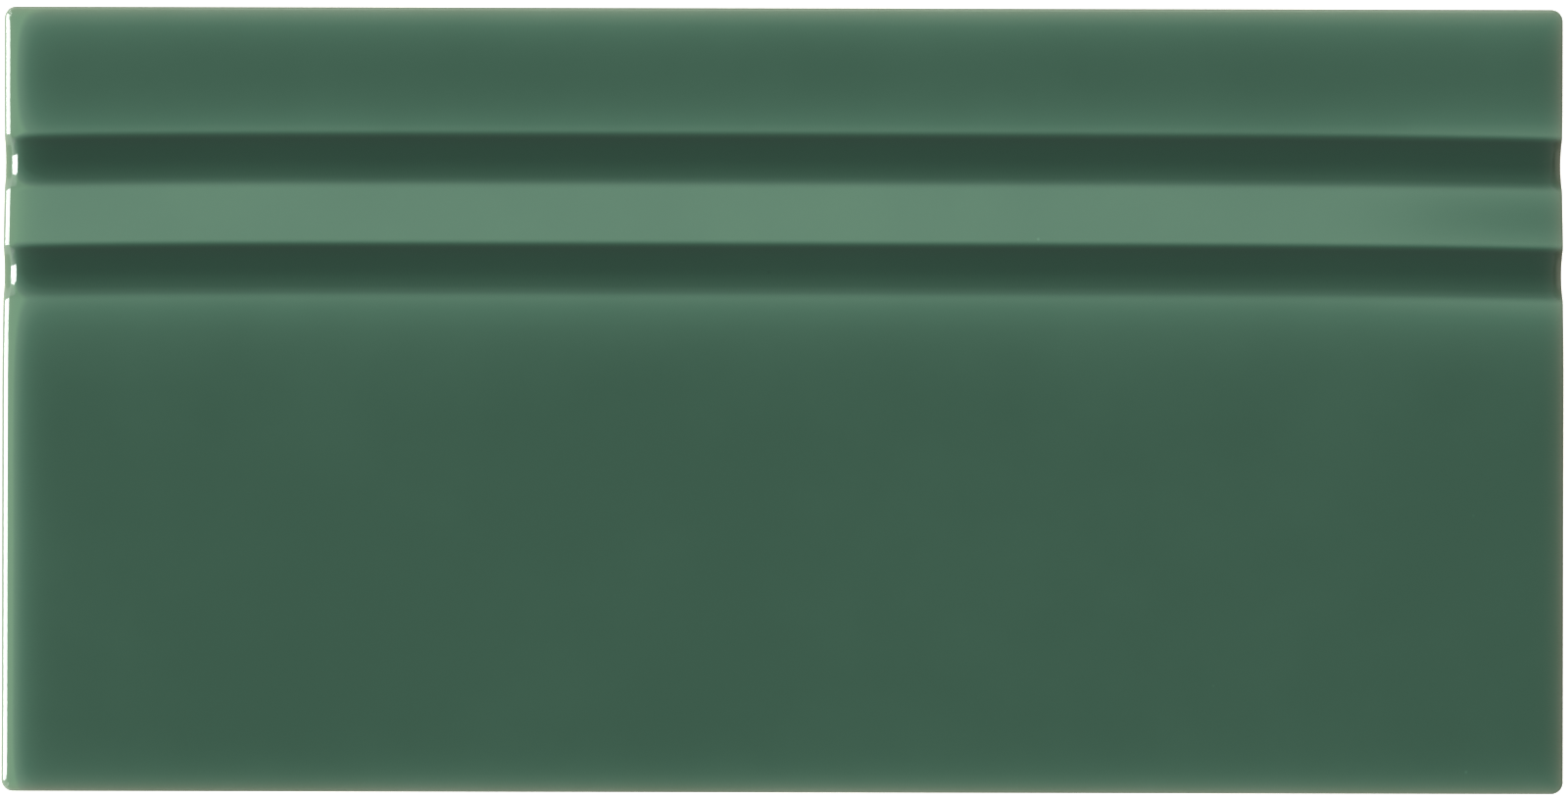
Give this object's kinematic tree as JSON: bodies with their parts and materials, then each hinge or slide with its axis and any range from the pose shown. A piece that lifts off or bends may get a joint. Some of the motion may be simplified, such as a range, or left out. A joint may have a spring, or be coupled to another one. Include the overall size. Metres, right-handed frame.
{
  "type": "skirting tile",
  "caption": "Glazed rectangular skirting tile, laid flat, with a raised field, a moulded double cove and bead along its top edge and a keyed back.",
  "frame": {"origin": "under the middle of the tile, on the plane that the back lies on", "axes": "+X along the length of the tile, +Y towards its moulded top edge, +Z out of the glazed face"},
  "size_m": [0.199, 0.1, 0.012],
  "materials": {
    "glaze": "gloss"
  },
  "bodies": {
    "root": {"skirting_tile": "glaze"}
  },
  "joints": []
}
